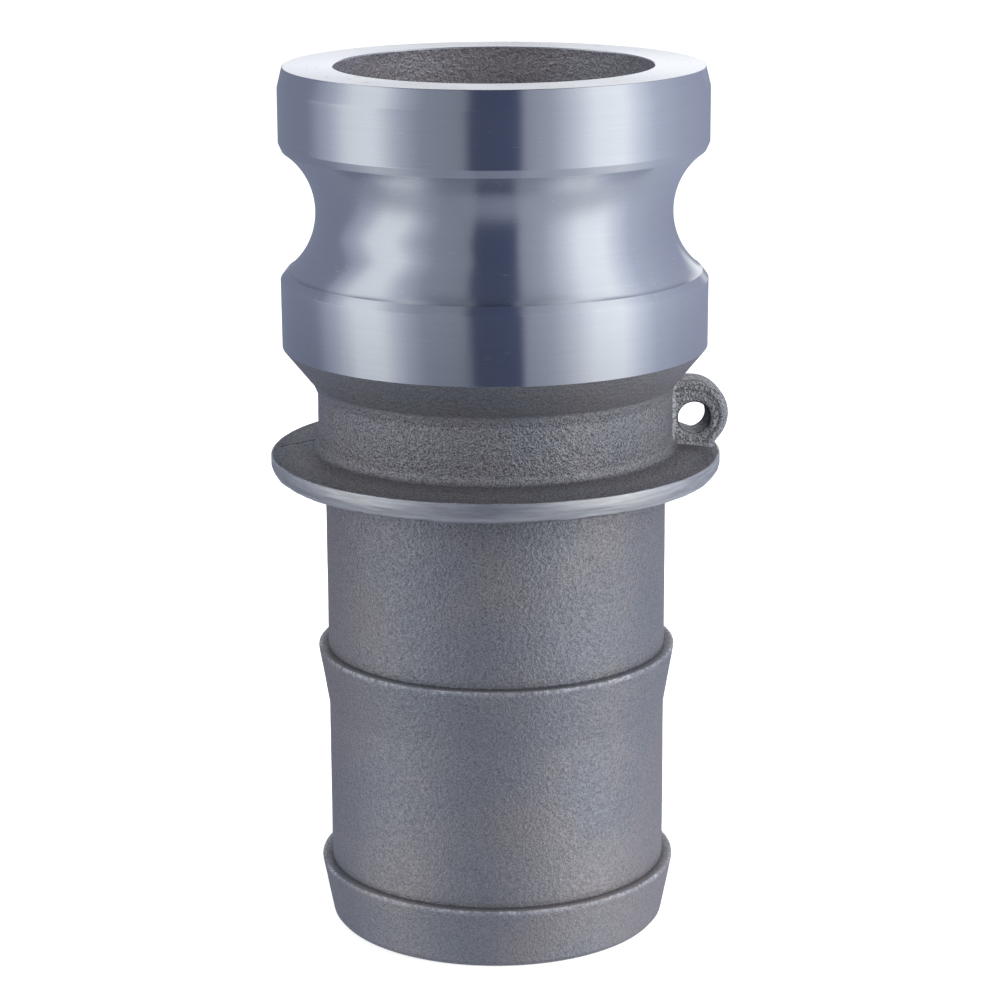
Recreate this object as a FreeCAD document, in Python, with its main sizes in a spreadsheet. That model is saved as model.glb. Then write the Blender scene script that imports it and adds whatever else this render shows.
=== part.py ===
import FreeCAD, Part
import os
import Sketcher

# Hose shank adapter for a two-inch cam coupling: one aluminium casting, turned on its head, its cam
# groove and the rim of its stop flange. The origin is on the axis at the end of the shank, +Z runs up
# to the sealing face of the head, and the chain lug stands out along +X.

DRIVING_SIZES = [
    # name, value in millimetres unless the note says otherwise, what it measures
    ("shank_diameter", 50.8, "outside of the shank at its end, the bore of a two-inch hose"),
    ("shank_draft", 0.22, "degrees that the shank widens towards the flange"),
    ("shank_length", 69.8, "end of the shank to the underside of the flange"),
    ("shank_wall", 3.5, "wall of the shank at its end"),
    ("shank_end_chamfer", 0.5, "broken outer edge of the end"),
    ("barb_count", 2, "number of barbs"),
    ("barb_pitch", 33.65, "from one barb to the next"),
    ("barb_crest_diameter", 53.9, "over the crest of a barb"),
    ("barb_taper_length", 8.85, "long slope that the hose slides up"),
    ("barb_land", 0.5, "flat width of the crest"),
    ("barb_shoulder_length", 0.2, "steep shoulder behind the crest, which holds the hose"),
    ("flange_diameter", 67.0, "rim of the stop flange"),
    ("flange_thickness", 3.15, "thickness at the rim"),
    ("flange_bevel_depth", 1.1, "lower bevel of the rim, along the radius"),
    ("flange_bevel_height", 1.35, "lower bevel of the rim, along the axis"),
    ("flange_draft", 6.0, "degrees that the top of the flange rises to the collar"),
    ("flange_root_chamfer", 0.9, "corner under the flange"),
    ("collar_step", 0.73, "collar beyond the shank, along the radius"),
    ("collar_length", 9.7, "top of the rim to the start of the cone"),
    ("collar_foot_chamfer", 0.8, "corner where the collar stands on the flange"),
    ("collar_top_chamfer", 0.8, "blend from the collar into the cone"),
    ("cone_length", 6.3, "rise of the cone under the head"),
    ("head_diameter", 63.0, "turned bands of the coupling head"),
    ("head_length", 41.05, "turned length from the cone to the sealing face"),
    ("lead_in_depth", 0.75, "taper from the upper band to the sealing face, along the radius"),
    ("lead_in_length", 3.0, "the same taper along the axis"),
    ("mouth_depth", 47.0, "sealing face to the end of the cored mouth"),
    ("bore_taper_length", 12.0, "cone inside, between the mouth and the bore of the shank"),
    ("mouth_chamfer", 0.5, "broken inner edge of the sealing face"),
    ("groove_depth", 5.25, "bands to the bottom of the cam groove"),
    ("groove_wall", 2.9, "metal between the bottom of the cam groove and the cored mouth"),
    ("groove_arc_radius", 11.1, "round section that the cams run in"),
    ("groove_axis_depth", 21.15, "sealing face to the middle of the groove"),
    ("groove_upper_bevel_depth", 0.5, "upper bevel of the groove, along the radius"),
    ("groove_upper_bevel_length", 1.15, "upper bevel of the groove, along the axis"),
    ("groove_lower_bevel_depth", 1.05, "lower bevel of the groove, along the radius"),
    ("groove_lower_bevel_length", 0.95, "lower bevel of the groove, along the axis"),
    ("lug_thickness", 6.5, "thickness of the chain lug"),
    ("lug_hole_diameter", 5.0, "hole for the chain ring"),
    ("lug_hole_gap", 0.6, "collar to the hole"),
    ("lug_hole_rise", 1.35, "flange, where it meets the collar, to the hole"),
    ("lug_hole_drop", 0.6, "centre of the hole below the centre of the eye"),
    ("lug_eye_wall", 3.1, "metal round the hole, to the side"),
    ("lug_foot_inset", 1.4, "rim of the flange to the foot of the lug, inside the flange"),
    ("lug_edge_radius", 1.2, "rounding round the lug"),
    ("lug_hole_chamfer", 0.4, "broken edge at both ends of the hole"),
]

TOLERANCE = 1e-4

doc = FreeCAD.newDocument("hose_shank_adapter")


def fill_sheet():
    """The driving sizes, one in a row: its name, its value and what it measures."""
    sheet = doc.addObject("Spreadsheet::Sheet", "Sizes")
    for row, (name, value, note) in enumerate(DRIVING_SIZES, start=1):
        sheet.set(f"A{row}", name.replace("_", " "))
        sheet.set(f"B{row}", str(value))
        sheet.setAlias(f"B{row}", name)
        sheet.set(f"C{row}", note)
    doc.recompute()
    return sheet


sizes = fill_sheet()

# Levels along the axis and radii that more than one feature uses
SHANK_RADIUS = "Sizes.shank_diameter / 2"
FLANGE_UNDERSIDE = "Sizes.shank_length"
FLANGE_TOP = "(Sizes.shank_length + Sizes.flange_thickness)"
CONE_BOTTOM = f"({FLANGE_TOP} + Sizes.collar_length)"
HEAD_BOTTOM = f"({CONE_BOTTOM} + Sizes.cone_length)"
SEALING_FACE = f"({HEAD_BOTTOM} + Sizes.head_length)"
HEAD_RADIUS = "Sizes.head_diameter / 2"
FLANGE_RADIUS = "Sizes.flange_diameter / 2"
SHANK_RADIUS_AT_FLANGE = f"({SHANK_RADIUS} + Sizes.shank_length * tan(Sizes.shank_draft * 1deg))"
COLLAR_RADIUS = f"({SHANK_RADIUS_AT_FLANGE} + Sizes.collar_step)"
BORE_RADIUS = f"({SHANK_RADIUS} - Sizes.shank_wall)"
FLANGE_RISE = f"(({FLANGE_RADIUS} - {COLLAR_RADIUS}) * tan(Sizes.flange_draft * 1deg))"
COLLAR_FOOT = f"({FLANGE_TOP} + {FLANGE_RISE})"
GROOVE_AXIS = f"({SEALING_FACE} - Sizes.groove_axis_depth)"
GROOVE_ROOT_RADIUS = f"({HEAD_RADIUS} - Sizes.groove_depth)"
MOUTH_RADIUS = f"({GROOVE_ROOT_RADIUS} - Sizes.groove_wall)"
LUG_HOLE_RADIUS = "Sizes.lug_hole_diameter / 2"
LUG_EYE_RADIUS = f"({LUG_HOLE_RADIUS} + Sizes.lug_eye_wall)"
LUG_EYE_X = f"({COLLAR_RADIUS} + Sizes.lug_hole_gap + {LUG_HOLE_RADIUS})"
LUG_HOLE_Z = f"({COLLAR_FOOT} + Sizes.lug_hole_rise + {LUG_HOLE_RADIUS})"
LUG_EYE_Z = f"({LUG_HOLE_Z} + Sizes.lug_hole_drop)"


def number(expression):
    """What an expression in the sheet's names comes to, as a plain number."""
    return float(sizes.evalExpression(expression))


def plane_of(body, role):
    """The origin plane of a body."""
    return next(feature for feature in body.Origin.OriginFeatures if feature.Role == role)


def section_sketch(body, name, plane="YZ_Plane"):
    """An empty sketch in a plane that holds the axis: x is the radius, y the height."""
    sketch = body.newObject("Sketcher::SketchObject", name)
    sketch.AttachmentSupport = [(plane_of(body, plane), "")]
    sketch.MapMode = "FlatFace"
    return sketch


def bind(sketch, name, constraint, expression):
    """Adds a named constraint and ties its value to the sheet."""
    index = sketch.addConstraint(constraint)
    sketch.renameConstraint(index, name)
    sketch.setExpression(f"Constraints.{name}", expression)


def place_corner(sketch, name, line, end, radius, height):
    """Holds one end of a line at a radius and a height. Zero puts it on the sketch's own axis."""
    rules = [("radius", -2, "DistanceX", radius), ("height", -1, "DistanceY", height)]
    for side, axis, kind, expression in rules:
        if expression == "0":
            sketch.addConstraint(Sketcher.Constraint("PointOnObject", line, end, axis))
        else:
            reach = Sketcher.Constraint(kind, -1, 1, line, end, number(expression))
            bind(sketch, f"{name}_{side}", reach, expression)


def closed_profile(body, name, corners):
    """A sketch of straight lines round the named corners, each at a radius and a height."""
    sketch = section_sketch(body, name)
    points = [FreeCAD.Vector(number(radius), number(height), 0) for _, radius, height in corners]
    lines = [sketch.addGeometry(Part.LineSegment(a, b)) for a, b in zip(points, points[1:] + points[:1])]
    for line, following in zip(lines, lines[1:] + lines[:1]):
        sketch.addConstraint(Sketcher.Constraint("Coincident", line, 2, following, 1))
    for line, (corner, radius, height) in zip(lines, corners):
        place_corner(sketch, corner, line, 1, radius, height)
    return sketch


def revolve(body, kind, name, sketch):
    """Turns a sketch round the axis, as added metal or as a turned groove."""
    feature = body.newObject(kind, name)
    feature.Profile = sketch
    feature.ReferenceAxis = (sketch, ["V_Axis"])
    feature.Angle = 360
    doc.recompute()
    return feature


def must_remove(body, before, name):
    """A cut that points the wrong way shows no error, so the volume before it is compared."""
    if body.Shape.Volume > before - TOLERANCE:
        raise RuntimeError(f"{name} removed nothing")


def ring_edge(shape, radius, height):
    """The name of the round edge of this radius and height about the axis."""
    for index, edge in enumerate(shape.Edges, start=1):
        box = edge.BoundBox
        level = abs(box.ZMin - height) < TOLERANCE and abs(box.ZMax - height) < TOLERANCE
        if level and isinstance(edge.Curve, Part.Circle) and abs(edge.Curve.Radius - radius) < TOLERANCE:
            return f"Edge{index}"
    raise RuntimeError(f"no round edge of radius {radius} at height {height}")


def dress(body, kind, name, edges, socket, expression):
    """A fillet or a chamfer on named edges of the body, its size tied to the sheet."""
    base = body.Tip
    feature = body.newObject(kind, name)
    feature.Base = (base, edges)
    feature.setExpression(socket, expression)
    doc.recompute()


def cast_blank(body):
    """The outside of the casting as one turned shape: shank, stop flange, collar, cone and head."""
    root = "Sizes.flange_root_chamfer"
    foot = "Sizes.collar_foot_chamfer"
    blend = "Sizes.collar_top_chamfer"
    flange_slope = "tan(Sizes.flange_draft * 1deg)"
    cone_slope = f"({HEAD_RADIUS} - {COLLAR_RADIUS}) / Sizes.cone_length"
    profile = closed_profile(body, "BlankProfile", [
        ("axis_end", "0", "0"),
        ("shank_end", SHANK_RADIUS, "0"),
        ("root_start", SHANK_RADIUS_AT_FLANGE, f"{FLANGE_UNDERSIDE} - {root}"),
        ("root_end", f"{SHANK_RADIUS_AT_FLANGE} + {root}", FLANGE_UNDERSIDE),
        ("bevel_start", f"{FLANGE_RADIUS} - Sizes.flange_bevel_depth", FLANGE_UNDERSIDE),
        ("rim_bottom", FLANGE_RADIUS, f"{FLANGE_UNDERSIDE} + Sizes.flange_bevel_height"),
        ("rim_top", FLANGE_RADIUS, FLANGE_TOP),
        ("foot_start", f"{COLLAR_RADIUS} + {foot}", f"{COLLAR_FOOT} - {foot} * {flange_slope}"),
        ("foot_end", COLLAR_RADIUS, f"{COLLAR_FOOT} + {foot}"),
        ("blend_start", COLLAR_RADIUS, f"{CONE_BOTTOM} - {blend}"),
        ("blend_end", f"{COLLAR_RADIUS} + {blend} * {cone_slope}", f"{CONE_BOTTOM} + {blend}"),
        ("band_bottom", HEAD_RADIUS, HEAD_BOTTOM),
        ("band_top", HEAD_RADIUS, f"{SEALING_FACE} - Sizes.lead_in_length"),
        ("face_edge", f"{HEAD_RADIUS} - Sizes.lead_in_depth", SEALING_FACE),
        ("axis_top", "0", SEALING_FACE),
    ])
    revolve(body, "PartDesign::Revolution", "Blank", profile)


def hose_barbs(body):
    """Equal barbs along the shank. The first one rises from the end of the shank."""
    sunk = f"{SHANK_RADIUS} - Sizes.shank_wall / 2"
    crest = "Sizes.barb_crest_diameter / 2"
    crest_end = "Sizes.barb_taper_length + Sizes.barb_land"
    root = f"{crest_end} + Sizes.barb_shoulder_length"
    profile = closed_profile(body, "BarbProfile", [
        ("sunk_start", sunk, "0"),
        ("taper_start", SHANK_RADIUS, "0"),
        ("crest_start", crest, "Sizes.barb_taper_length"),
        ("crest_end", crest, crest_end),
        ("shoulder_root", SHANK_RADIUS, root),
        ("sunk_root", sunk, root),
    ])
    barb = revolve(body, "PartDesign::Revolution", "Barb", profile)
    row = body.newObject("PartDesign::LinearPattern", "BarbRow")
    row.Originals = [barb]
    row.Direction = (profile, ["V_Axis"])
    row.Mode = "Spacing"
    row.setExpression("Offset", "Sizes.barb_pitch")
    row.setExpression("Occurrences", "Sizes.barb_count")
    body.Tip = row
    doc.recompute()


def cam_groove(body):
    """The turned groove of the head: a round section with a bevel at each side."""
    arc_x_rule = f"{GROOVE_ROOT_RADIUS} + Sizes.groove_arc_radius"
    outer_rule = f"{HEAD_RADIUS} + Sizes.groove_arc_radius"
    arc_x = number(arc_x_rule)
    arc_z = number(GROOVE_AXIS)
    arc_radius = number("Sizes.groove_arc_radius")
    outer_x = number(outer_rule)
    band_x = number(HEAD_RADIUS)
    upper_x = band_x - number("Sizes.groove_upper_bevel_depth")
    lower_x = band_x - number("Sizes.groove_lower_bevel_depth")
    upper_z = arc_z + (arc_radius ** 2 - (arc_x - upper_x) ** 2) ** 0.5
    lower_z = arc_z - (arc_radius ** 2 - (arc_x - lower_x) ** 2) ** 0.5
    bevel_top = upper_z + number("Sizes.groove_upper_bevel_length")
    bevel_bottom = lower_z - number("Sizes.groove_lower_bevel_length")

    points = [
        FreeCAD.Vector(upper_x, upper_z, 0),
        FreeCAD.Vector(band_x, bevel_top, 0),
        FreeCAD.Vector(outer_x, bevel_top, 0),
        FreeCAD.Vector(outer_x, bevel_bottom, 0),
        FreeCAD.Vector(band_x, bevel_bottom, 0),
        FreeCAD.Vector(lower_x, lower_z, 0),
    ]
    sketch = section_sketch(body, "GrooveProfile")
    lines = [sketch.addGeometry(Part.LineSegment(a, b)) for a, b in zip(points, points[1:])]
    upper_bevel, upper_side, outer_side, lower_side, lower_bevel = lines
    root = FreeCAD.Vector(arc_x - arc_radius, arc_z, 0)
    arc = sketch.addGeometry(Part.Arc(points[0], root, points[-1]))

    for line, following in zip(lines, lines[1:]):
        sketch.addConstraint(Sketcher.Constraint("Coincident", line, 2, following, 1))
    sketch.addConstraint(Sketcher.Constraint("Coincident", arc, 1, upper_bevel, 1))
    sketch.addConstraint(Sketcher.Constraint("Coincident", arc, 2, lower_bevel, 2))
    sketch.addConstraint(Sketcher.Constraint("Horizontal", upper_side))
    sketch.addConstraint(Sketcher.Constraint("Horizontal", lower_side))
    sketch.addConstraint(Sketcher.Constraint("Vertical", outer_side))

    bind(sketch, "arc_radius", Sketcher.Constraint("Radius", arc, arc_radius), "Sizes.groove_arc_radius")
    bind(sketch, "arc_x", Sketcher.Constraint("DistanceX", -1, 1, arc, 3, arc_x), arc_x_rule)
    bind(sketch, "arc_z", Sketcher.Constraint("DistanceY", -1, 1, arc, 3, arc_z), GROOVE_AXIS)
    bind(sketch, "upper_band", Sketcher.Constraint("DistanceX", -1, 1, upper_bevel, 2, band_x), HEAD_RADIUS)
    bind(sketch, "lower_band", Sketcher.Constraint("DistanceX", -1, 1, lower_bevel, 1, band_x), HEAD_RADIUS)
    bind(sketch, "outer", Sketcher.Constraint("DistanceX", -1, 1, outer_side, 1, outer_x), outer_rule)
    for side, line, inner, outer in (("upper", upper_bevel, 1, 2), ("lower", lower_bevel, 2, 1)):
        depth = f"Sizes.groove_{side}_bevel_depth"
        length = f"Sizes.groove_{side}_bevel_length"
        ends = (line, inner, line, outer)
        rise = ends if side == "upper" else (line, outer, line, inner)
        bind(sketch, f"{side}_depth", Sketcher.Constraint("DistanceX", *ends, number(depth)), depth)
        bind(sketch, f"{side}_length", Sketcher.Constraint("DistanceY", *rise, number(length)), length)

    before = body.Shape.Volume
    revolve(body, "PartDesign::Groove", "CamGroove", sketch)
    must_remove(body, before, "the cam groove")


def cored_bore(body):
    """The passage: a wide mouth in the head, a cone and the bore of the shank."""
    mouth_end = f"{SEALING_FACE} - Sizes.mouth_depth"
    taper_end = f"{mouth_end} - Sizes.bore_taper_length"
    profile = closed_profile(body, "BoreProfile", [
        ("axis_end", "0", "0"),
        ("bore_end", BORE_RADIUS, "0"),
        ("taper_end", BORE_RADIUS, taper_end),
        ("mouth_end", MOUTH_RADIUS, mouth_end),
        ("mouth_edge", MOUTH_RADIUS, SEALING_FACE),
        ("axis_top", "0", SEALING_FACE),
    ])
    before = body.Shape.Volume
    revolve(body, "PartDesign::Groove", "Bore", profile)
    must_remove(body, before, "the bore")


def broken_edges(body):
    """The broken edges at both ends: outside on the shank, inside on the sealing face."""
    edges = [
        ("ShankEnd", SHANK_RADIUS, "0", "shank_end_chamfer"),
        ("Mouth", MOUTH_RADIUS, SEALING_FACE, "mouth_chamfer"),
    ]
    for name, radius, height, size in edges:
        edge = ring_edge(body.Shape, number(radius), number(height))
        dress(body, "PartDesign::Chamfer", name, [edge], "Size", f"Sizes.{size}")


def lug_outline(body):
    """The lug from the side: a round eye with a level top, and a leg that stands on the flange."""
    sunk_x = f"({COLLAR_RADIUS} + {BORE_RADIUS}) / 2"
    sunk_z = f"({FLANGE_UNDERSIDE} + {FLANGE_TOP}) / 2"
    foot_x = f"{FLANGE_RADIUS} - Sizes.lug_foot_inset"
    eye_x = number(LUG_EYE_X)
    eye_z = number(LUG_EYE_Z)
    radius = number(LUG_EYE_RADIUS)
    inner = FreeCAD.Vector(number(sunk_x), number(sunk_z), 0)
    foot = FreeCAD.Vector(number(foot_x), number(sunk_z), 0)
    side = FreeCAD.Vector(eye_x + radius, eye_z, 0)
    top = FreeCAD.Vector(eye_x, eye_z + radius, 0)
    shoulder = FreeCAD.Vector(eye_x + radius * 0.5 ** 0.5, eye_z + radius * 0.5 ** 0.5, 0)
    back = FreeCAD.Vector(number(sunk_x), eye_z + radius, 0)

    sketch = section_sketch(body, "LugOutline", "XZ_Plane")
    sole = sketch.addGeometry(Part.LineSegment(inner, foot))
    leg = sketch.addGeometry(Part.LineSegment(foot, side))
    eye = sketch.addGeometry(Part.Arc(side, shoulder, top))
    roof = sketch.addGeometry(Part.LineSegment(top, back))
    heel = sketch.addGeometry(Part.LineSegment(back, inner))
    sketch.addConstraint(Sketcher.Constraint("Coincident", sole, 2, leg, 1))
    sketch.addConstraint(Sketcher.Constraint("Tangent", leg, 2, eye, 1))
    sketch.addConstraint(Sketcher.Constraint("Tangent", eye, 2, roof, 1))
    sketch.addConstraint(Sketcher.Constraint("Coincident", roof, 2, heel, 1))
    sketch.addConstraint(Sketcher.Constraint("Coincident", heel, 2, sole, 1))
    sketch.addConstraint(Sketcher.Constraint("Horizontal", sole))
    sketch.addConstraint(Sketcher.Constraint("Horizontal", roof))
    sketch.addConstraint(Sketcher.Constraint("Vertical", heel))
    bind(sketch, "eye_radius", Sketcher.Constraint("Radius", eye, radius), LUG_EYE_RADIUS)
    bind(sketch, "eye_x", Sketcher.Constraint("DistanceX", -1, 1, eye, 3, eye_x), LUG_EYE_X)
    bind(sketch, "eye_z", Sketcher.Constraint("DistanceY", -1, 1, eye, 3, eye_z), LUG_EYE_Z)
    bind(sketch, "sunk_x", Sketcher.Constraint("DistanceX", -1, 1, sole, 1, inner.x), sunk_x)
    bind(sketch, "sunk_z", Sketcher.Constraint("DistanceY", -1, 1, sole, 1, inner.y), sunk_z)
    bind(sketch, "foot_x", Sketcher.Constraint("DistanceX", -1, 1, sole, 2, foot.x), foot_x)
    return sketch


def face_edges(shape, half_thickness, keep):
    """The names of the edges that lie in the two flat faces of the lug and that keep() accepts."""
    names = []
    for index, edge in enumerate(shape.Edges, start=1):
        box = edge.BoundBox
        flat = box.YLength < TOLERANCE and abs(abs(box.YMin) - half_thickness) < TOLERANCE
        if flat and keep(edge):
            names.append(f"Edge{index}")
    return names


def chain_lug(body):
    """The lug for the chain of a dust cap. It is made first, as a plate with its rounded edges and its
    hole, and the turned blank is then added round its root."""
    plate = body.newObject("PartDesign::Pad", "Lug")
    plate.Profile = lug_outline(body)
    plate.SideType = "Symmetric"
    plate.setExpression("Length", "Sizes.lug_thickness")
    doc.recompute()

    half = number("Sizes.lug_thickness / 2")
    box = body.Shape.BoundBox
    outline = face_edges(body.Shape, half, lambda edge: edge.BoundBox.XMax - box.XMin > TOLERANCE
                         and edge.BoundBox.ZMax - box.ZMin > TOLERANCE)
    dress(body, "PartDesign::Fillet", "LugRim", outline, "Radius", "Sizes.lug_edge_radius")

    sketch = section_sketch(body, "LugHoleOutline", "XZ_Plane")
    centre = FreeCAD.Vector(number(LUG_EYE_X), number(LUG_HOLE_Z), 0)
    hole_radius = number(LUG_HOLE_RADIUS)
    circle = sketch.addGeometry(Part.Circle(centre, FreeCAD.Vector(0, 0, 1), hole_radius))
    bind(sketch, "radius", Sketcher.Constraint("Radius", circle, hole_radius), LUG_HOLE_RADIUS)
    bind(sketch, "centre_x", Sketcher.Constraint("DistanceX", -1, 1, circle, 3, centre.x), LUG_EYE_X)
    bind(sketch, "centre_z", Sketcher.Constraint("DistanceY", -1, 1, circle, 3, centre.y), LUG_HOLE_Z)
    before = body.Shape.Volume
    hole = body.newObject("PartDesign::Pocket", "LugHole")
    hole.Profile = sketch
    hole.SideType = "Symmetric"
    hole.setExpression("Length", "Sizes.lug_thickness")
    doc.recompute()
    must_remove(body, before, "the hole of the lug")
    mouths = face_edges(body.Shape, half, lambda edge: isinstance(edge.Curve, Part.Circle)
                        and abs(edge.Curve.Radius - hole_radius) < TOLERANCE)
    dress(body, "PartDesign::Chamfer", "LugHoleEdges", mouths, "Size", "Sizes.lug_hole_chamfer")


def adapter_casting():
    """The whole object: one casting."""
    body = doc.addObject("PartDesign::Body", "AdapterCasting")
    body.Label = "adapter_casting"
    chain_lug(body)
    cast_blank(body)
    hose_barbs(body)
    cored_bore(body)
    cam_groove(body)
    broken_edges(body)
    body.Placement = FreeCAD.Placement()
    return body


def refuse_failed(pieces):
    """Stops before anything is written if a feature or a piece failed."""
    for item in doc.Objects:
        if {"Invalid", "Error"} & set(item.State):
            raise RuntimeError(f"{item.Label} failed: {item.State}")
    for piece in pieces:
        if piece.Shape.isNull() or not piece.Shape.isValid() or len(piece.Shape.Solids) != 1:
            raise RuntimeError(f"{piece.Label} is not one valid solid")


pieces = [adapter_casting()]
doc.recompute()
refuse_failed(pieces)
os.makedirs("parts", exist_ok=True)
for piece in pieces:
    piece.Shape.exportStep(f"parts/{piece.Label}.step")
    print(piece.Label, "volume", round(piece.Shape.Volume), "mm3, height", round(piece.Shape.BoundBox.ZMax, 2))
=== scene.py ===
import math

import bmesh
import bpy
import numpy as np
import openvdb
from mathutils import Matrix, Vector


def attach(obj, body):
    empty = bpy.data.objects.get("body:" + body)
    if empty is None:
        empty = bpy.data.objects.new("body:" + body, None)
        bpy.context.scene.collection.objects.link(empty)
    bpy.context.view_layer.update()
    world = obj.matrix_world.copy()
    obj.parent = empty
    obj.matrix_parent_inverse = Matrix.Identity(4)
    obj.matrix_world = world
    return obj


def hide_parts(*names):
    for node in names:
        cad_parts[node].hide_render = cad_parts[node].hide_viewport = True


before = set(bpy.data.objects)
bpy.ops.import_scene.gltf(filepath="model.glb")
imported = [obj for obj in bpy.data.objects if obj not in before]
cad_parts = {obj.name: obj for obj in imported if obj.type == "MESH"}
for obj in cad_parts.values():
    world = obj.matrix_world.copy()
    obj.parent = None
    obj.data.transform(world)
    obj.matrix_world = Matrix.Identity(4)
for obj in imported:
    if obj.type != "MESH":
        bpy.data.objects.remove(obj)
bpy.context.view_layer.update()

# The lengths of the object are written in millimetres, and turned into metres where they reach Blender. The
# floor, the surround and the lamps are in metres.
MM = 0.001

# Camera: the photograph's, a long lens half a metre off, a little above the head and looking down.

CAMERA_LENS = 112.25
CAMERA_PLACE = Vector((-39.93, -451.84, 181.59)) * MM
CAMERA_TURN = math.radians(-5.132)
CAMERA_PITCH = math.radians(90.0 - 14.447)
CAMERA_ROLL = math.radians(-0.245)

camera_data = bpy.data.cameras.new("camera")
camera_data.sensor_width = 36.0
camera_data.lens = CAMERA_LENS
camera_data.clip_start = 0.01
camera_data.clip_end = 100.0
camera = bpy.data.objects.new("camera", camera_data)
bpy.context.scene.collection.objects.link(camera)
bpy.context.scene.camera = camera
camera.matrix_world = (Matrix.Translation(CAMERA_PLACE)
                       @ Matrix.Rotation(CAMERA_TURN, 4, "Z")
                       @ Matrix.Rotation(CAMERA_PITCH, 4, "X")
                       @ Matrix.Rotation(CAMERA_ROLL, 4, "Z"))

# The adapter: one gravity casting in aluminium. Everything but its chain lug is turned round the axis
# from one section. The barbed shank, the flange, the collar and the cone keep the skin of the sand, and
# a lathe has cut the head with its cam groove and the rim of the flange.

SEGMENTS = 196
SHANK_RADIUS = 25.4
SHANK_WALL = 3.5
SHANK_LENGTH = 69.55
SHANK_DRAFT = math.tan(math.radians(0.04))
BARB_COUNT = 2
BARB_PITCH = 33.65
BARB_CREST = 26.95
BARB_TAPER = 8.85
BARB_LAND = 0.5
FLANGE_RADIUS = 33.48
RIM_BOTTOM = 70.85
RIM_TOP = 72.75
COLLAR_RADIUS = 26.398
COLLAR_TOP = 82.65
HEAD_RADIUS = 31.5
HEAD_BOTTOM = 88.95
FACE = 130.0
MOUTH_RADIUS = 23.35
BORE_CONE = (71.0, 83.0)
GROOVE_CENTRE = (37.35, 108.85)
GROOVE_ARC = 11.1
GROOVE_START = (30.45, 100.155)
GROOVE_END = (31.0, 117.954)
GROOVE_STEPS = 34

# How much of the sand's relief a corner takes. The rim's edges were filed by hand, and are the most uneven.
CAST = 1.0
TURNED = 0.0
FILED = 3.0

UNDIVIDED = 9.0  # the step of a run that stays whole
MARGIN = 0.12  # what a divided run keeps at its ends, so that the corners stay crisp
LEAST_TURN = 0.01  # a corner that turns less, in radians, stays as it is
STEP_TURN = 0.3  # how far each step of a rounding turns
ROUNDED_SHARE = 0.45  # the most of a run that one rounding takes up


def shank_surface(z):
    """The radius of the plain shank at a height."""
    return SHANK_RADIUS + SHANK_DRAFT * z


def barb_corners():
    """The corners of the barbs: the lip of the crest with a painted highlight as of wear, the step behind it
    and the painted shade at its foot.
    """
    corners = []
    taper = (BARB_CREST - SHANK_RADIUS) / BARB_TAPER
    for index in range(BARB_COUNT):
        foot = index * BARB_PITCH
        crest = foot + BARB_TAPER
        end = crest + BARB_LAND
        root = shank_surface(end)
        if index:
            start = foot * taper / (taper - SHANK_DRAFT)
            corners.append((shank_surface(start), start, 6.0, 0.9, CAST, 0.0))
        corners += [
            (BARB_CREST - 0.10, crest - 0.3, 2.0, 0.8, CAST, 0.0),
            (BARB_CREST - 0.02, end - 0.25, 0.25, 0.3, CAST, -0.22),
            (BARB_CREST - 0.25, end, 0.12, 0.2, CAST, -0.35),
            (BARB_CREST - 0.75, end - 0.02, 0.0, 0.2, CAST, 0.1),
            (root - 0.05, end, 0.08, 0.2, CAST, 1.2),
            (root - 0.02, end + 0.15, 0.1, 0.2, CAST, -0.05),
            (root, end + 0.7, 0.4, 0.25, CAST, 0.0),
        ]
    return corners


def groove_corners():
    """The cam groove between its two bevels, sampled along its round section."""
    across, up = GROOVE_CENTRE
    first = math.atan2(GROOVE_START[1] - up, GROOVE_START[0] - across) % (2 * math.pi)
    last = math.atan2(GROOVE_END[1] - up, GROOVE_END[0] - across) % (2 * math.pi)
    # The last column paints a highlight on the top edge of the band below the groove, and shade where the
    # lower bevel meets the groove
    corners = [
        (HEAD_RADIUS, 98.75, 0.0, UNDIVIDED, TURNED, 0.0),
        (HEAD_RADIUS, 98.90, 0.1, UNDIVIDED, TURNED, -0.15),
        (31.38, 99.06, 0.0, UNDIVIDED, TURNED, 0.0),
        (30.60, 100.11, 0.1, 0.4, TURNED, 0.05),
        (GROOVE_START[0] + 0.04, GROOVE_START[1], 0.0, UNDIVIDED, TURNED, 0.25),
    ]
    for step in range(1, GROOVE_STEPS):
        angle = first + (last - first) * step / GROOVE_STEPS
        corners.append((across + GROOVE_ARC * math.cos(angle), up + GROOVE_ARC * math.sin(angle),
                        0.0, UNDIVIDED, TURNED, 0.0))
    corners += [(*GROOVE_END, 0.25, 0.8, TURNED, 0.0), (HEAD_RADIUS, 119.104, 0.15, 0.5, TURNED, 0.0)]
    return corners
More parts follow.
